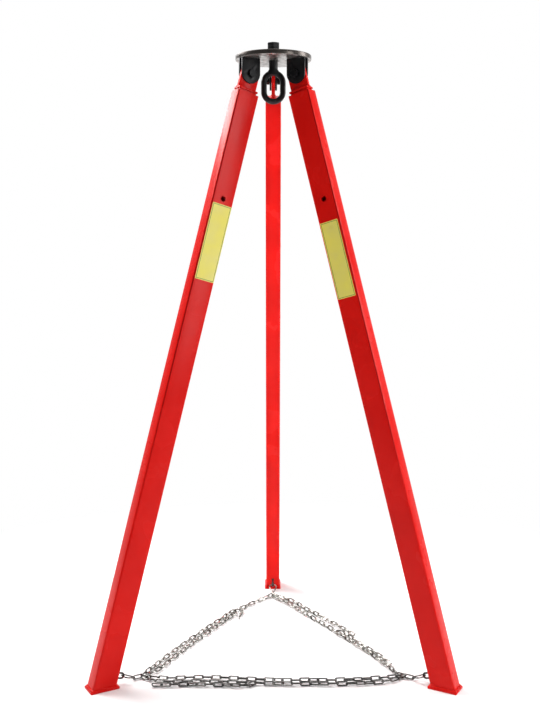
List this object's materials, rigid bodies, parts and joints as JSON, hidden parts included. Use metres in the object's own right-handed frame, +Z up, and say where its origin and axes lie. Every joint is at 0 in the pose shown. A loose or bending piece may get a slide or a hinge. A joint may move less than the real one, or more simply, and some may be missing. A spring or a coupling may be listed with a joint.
{
  "type": "lifting tripod",
  "caption": "Lifting tripod with telescopic box-section legs hinged under a round head disc, a swivel eye below it and a steel chain that ties the feet together.",
  "frame": {"origin": "middle of the footprint's bounding box, on the floor", "axes": "+Z up; +Y towards the rear leg, whose hinge and the swivel eye lie in the plane X = 0; +X to the right as seen from the front"},
  "size_m": [0.9362, 0.8116, 1.625],
  "materials": {
    "red_paint": "gloss red powder coat",
    "black_oxide": "satin black",
    "disc_steel": "satin dark grey",
    "zinc_steel": "zinc plated"
  },
  "bodies": {
    "head": {"head_disc": "disc_steel", "cheek_left_front": "black_oxide", "cheek_left_back": "black_oxide", "hinge_bolt_left": "black_oxide", "hinge_nut_left": "black_oxide", "cheek_right_front": "black_oxide", "cheek_right_back": "black_oxide", "hinge_bolt_right": "black_oxide", "hinge_nut_right": "black_oxide", "cheek_rear_left": "black_oxide", "cheek_rear_right": "black_oxide", "hinge_bolt_rear": "black_oxide", "hinge_nut_rear": "black_oxide"},
    "swivel": {"swivel_eye": "black_oxide", "swivel_washer": "black_oxide", "swivel_nut": "black_oxide", "swivel_lock_nut": "black_oxide"},
    "upper_leg_left": {"hinge_plate_left": "red_paint", "cap_plate_left": "red_paint", "inner_tube_left": "red_paint"},
    "lower_leg_left": {"outer_tube_left": "red_paint", "foot_plate_left": "red_paint", "chain_ring_left": "black_oxide"},
    "chain_end_left": {"pear_link_left": "zinc_steel", "chain_left": "zinc_steel"},
    "upper_leg_right": {"hinge_plate_right": "red_paint", "cap_plate_right": "red_paint", "inner_tube_right": "red_paint"},
    "lower_leg_right": {"outer_tube_right": "red_paint", "foot_plate_right": "red_paint", "chain_ring_right": "black_oxide"},
    "chain_end_right": {"pear_link_right": "zinc_steel", "chain_right": "zinc_steel"},
    "upper_leg_rear": {"hinge_plate_rear": "red_paint", "cap_plate_rear": "red_paint", "inner_tube_rear": "red_paint"},
    "lower_leg_rear": {"outer_tube_rear": "red_paint", "foot_plate_rear": "red_paint", "chain_ring_rear": "black_oxide"},
    "chain_end_rear": {"pear_link_rear": "zinc_steel", "chain_rear": "zinc_steel"}
  },
  "joints": [
    {"name": "swivel_turn", "type": "hinge", "parent": "head", "child": "swivel", "pos_m": [0, -0.12149, 1.55], "axis": [0, 0, 1], "continuous": true},
    {"name": "leg_fold_left", "type": "hinge", "parent": "head", "child": "upper_leg_left", "pos_m": [-0.06105, -0.15674, 1.538], "axis": [0.5, -0.866, 0], "range_deg": [0, 13], "deforming": ["chain_left"]},
    {"name": "leg_slide_left", "type": "slide", "parent": "upper_leg_left", "child": "lower_leg_left", "axis": [-0.229, -0.1322, -0.9644], "range_m": [0, 1.17]},
    {"name": "link_swing_left", "type": "hinge", "parent": "lower_leg_left", "child": "chain_end_left", "pos_m": [-0.37508, -0.33804, 0.01856], "axis": [0.5, -0.866, 0], "range_deg": [-13, 0]},
    {"name": "leg_fold_right", "type": "hinge", "parent": "head", "child": "upper_leg_right", "pos_m": [0.06105, -0.15674, 1.538], "axis": [0.5, 0.866, 0], "range_deg": [0, 13], "deforming": ["chain_right"]},
    {"name": "leg_slide_right", "type": "slide", "parent": "upper_leg_right", "child": "lower_leg_right", "axis": [0.229, -0.1322, -0.9644], "range_m": [0, 1.17]},
    {"name": "link_swing_right", "type": "hinge", "parent": "lower_leg_right", "child": "chain_end_right", "pos_m": [0.37508, -0.33804, 0.01856], "axis": [0.5, 0.866, 0], "range_deg": [-13, 0]},
    {"name": "leg_fold_rear", "type": "hinge", "parent": "head", "child": "upper_leg_rear", "pos_m": [0, -0.05099, 1.538], "axis": [-1, 0, 0], "range_deg": [0, 13], "deforming": ["chain_rear"]},
    {"name": "leg_slide_rear", "type": "slide", "parent": "upper_leg_rear", "child": "lower_leg_rear", "axis": [0, 0.2644, -0.9644], "range_m": [0, 1.17]},
    {"name": "link_swing_rear", "type": "hinge", "parent": "lower_leg_rear", "child": "chain_end_rear", "pos_m": [0, 0.31162, 0.01856], "axis": [-1, 0, 0], "range_deg": [-13, 0]}
  ],
  "couplings": [
    {"joint": "link_swing_left", "follows": "leg_fold_left", "ratio": -1},
    {"joint": "link_swing_right", "follows": "leg_fold_right", "ratio": -1},
    {"joint": "link_swing_rear", "follows": "leg_fold_rear", "ratio": -1}
  ]
}
